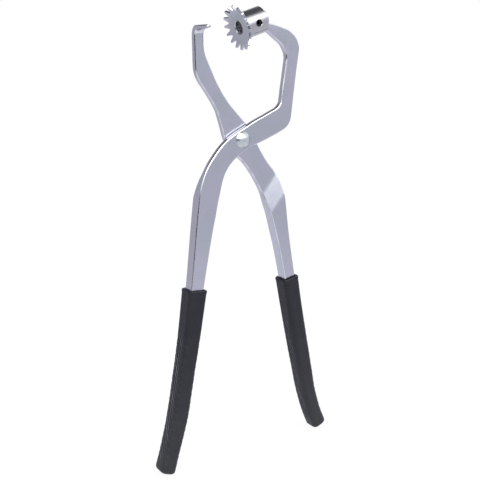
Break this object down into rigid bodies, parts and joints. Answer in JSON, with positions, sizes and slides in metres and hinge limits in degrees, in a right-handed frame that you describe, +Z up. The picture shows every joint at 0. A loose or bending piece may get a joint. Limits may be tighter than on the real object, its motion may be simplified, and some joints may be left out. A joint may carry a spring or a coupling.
{
  "type": "brake spring pliers",
  "caption": "Long pliers with a bent hook on one jaw and a turning toothed spur head on the C-shaped other jaw, for stretching drum brake springs; black sleeve grips.",
  "frame": {"origin": "on the pivot axis, at the flat back of the lap joint", "axes": "+X to the right as the tool is seen from its front, +Y to the back along the pivot axis, +Z up from the handles to the jaws"},
  "size_m": [0.1527, 0.0321, 0.3393],
  "materials": {
    "plated_steel": "bright zinc plate over a satin forged face, with polished edges",
    "turned_steel": "bright turned steel",
    "black_steel": "black oxide",
    "vinyl": "matte charcoal black vinyl, smooth on its faces and cross-hatched on its narrow sides"
  },
  "bodies": {
    "hook_side": {"hook_lever": "plated_steel", "right_grip": "vinyl", "pivot_rivet": "turned_steel"},
    "spur_side": {"spur_lever": "plated_steel", "left_grip": "vinyl"},
    "spur_head": {"spur_barrel": "turned_steel", "spur_wheel": "plated_steel", "set_screw": "black_steel"}
  },
  "joints": [
    {"name": "jaw_pivot", "type": "hinge", "parent": "hook_side", "child": "spur_side", "pos_m": [0, 0, 0], "axis": [0, 1, 0], "range_deg": [-16, 25]},
    {"name": "spur_spin", "type": "hinge", "parent": "spur_side", "child": "spur_head", "pos_m": [0.0181, -0.00752, 0.0844], "axis": [-0.9537, 0, -0.3007], "continuous": true}
  ]
}
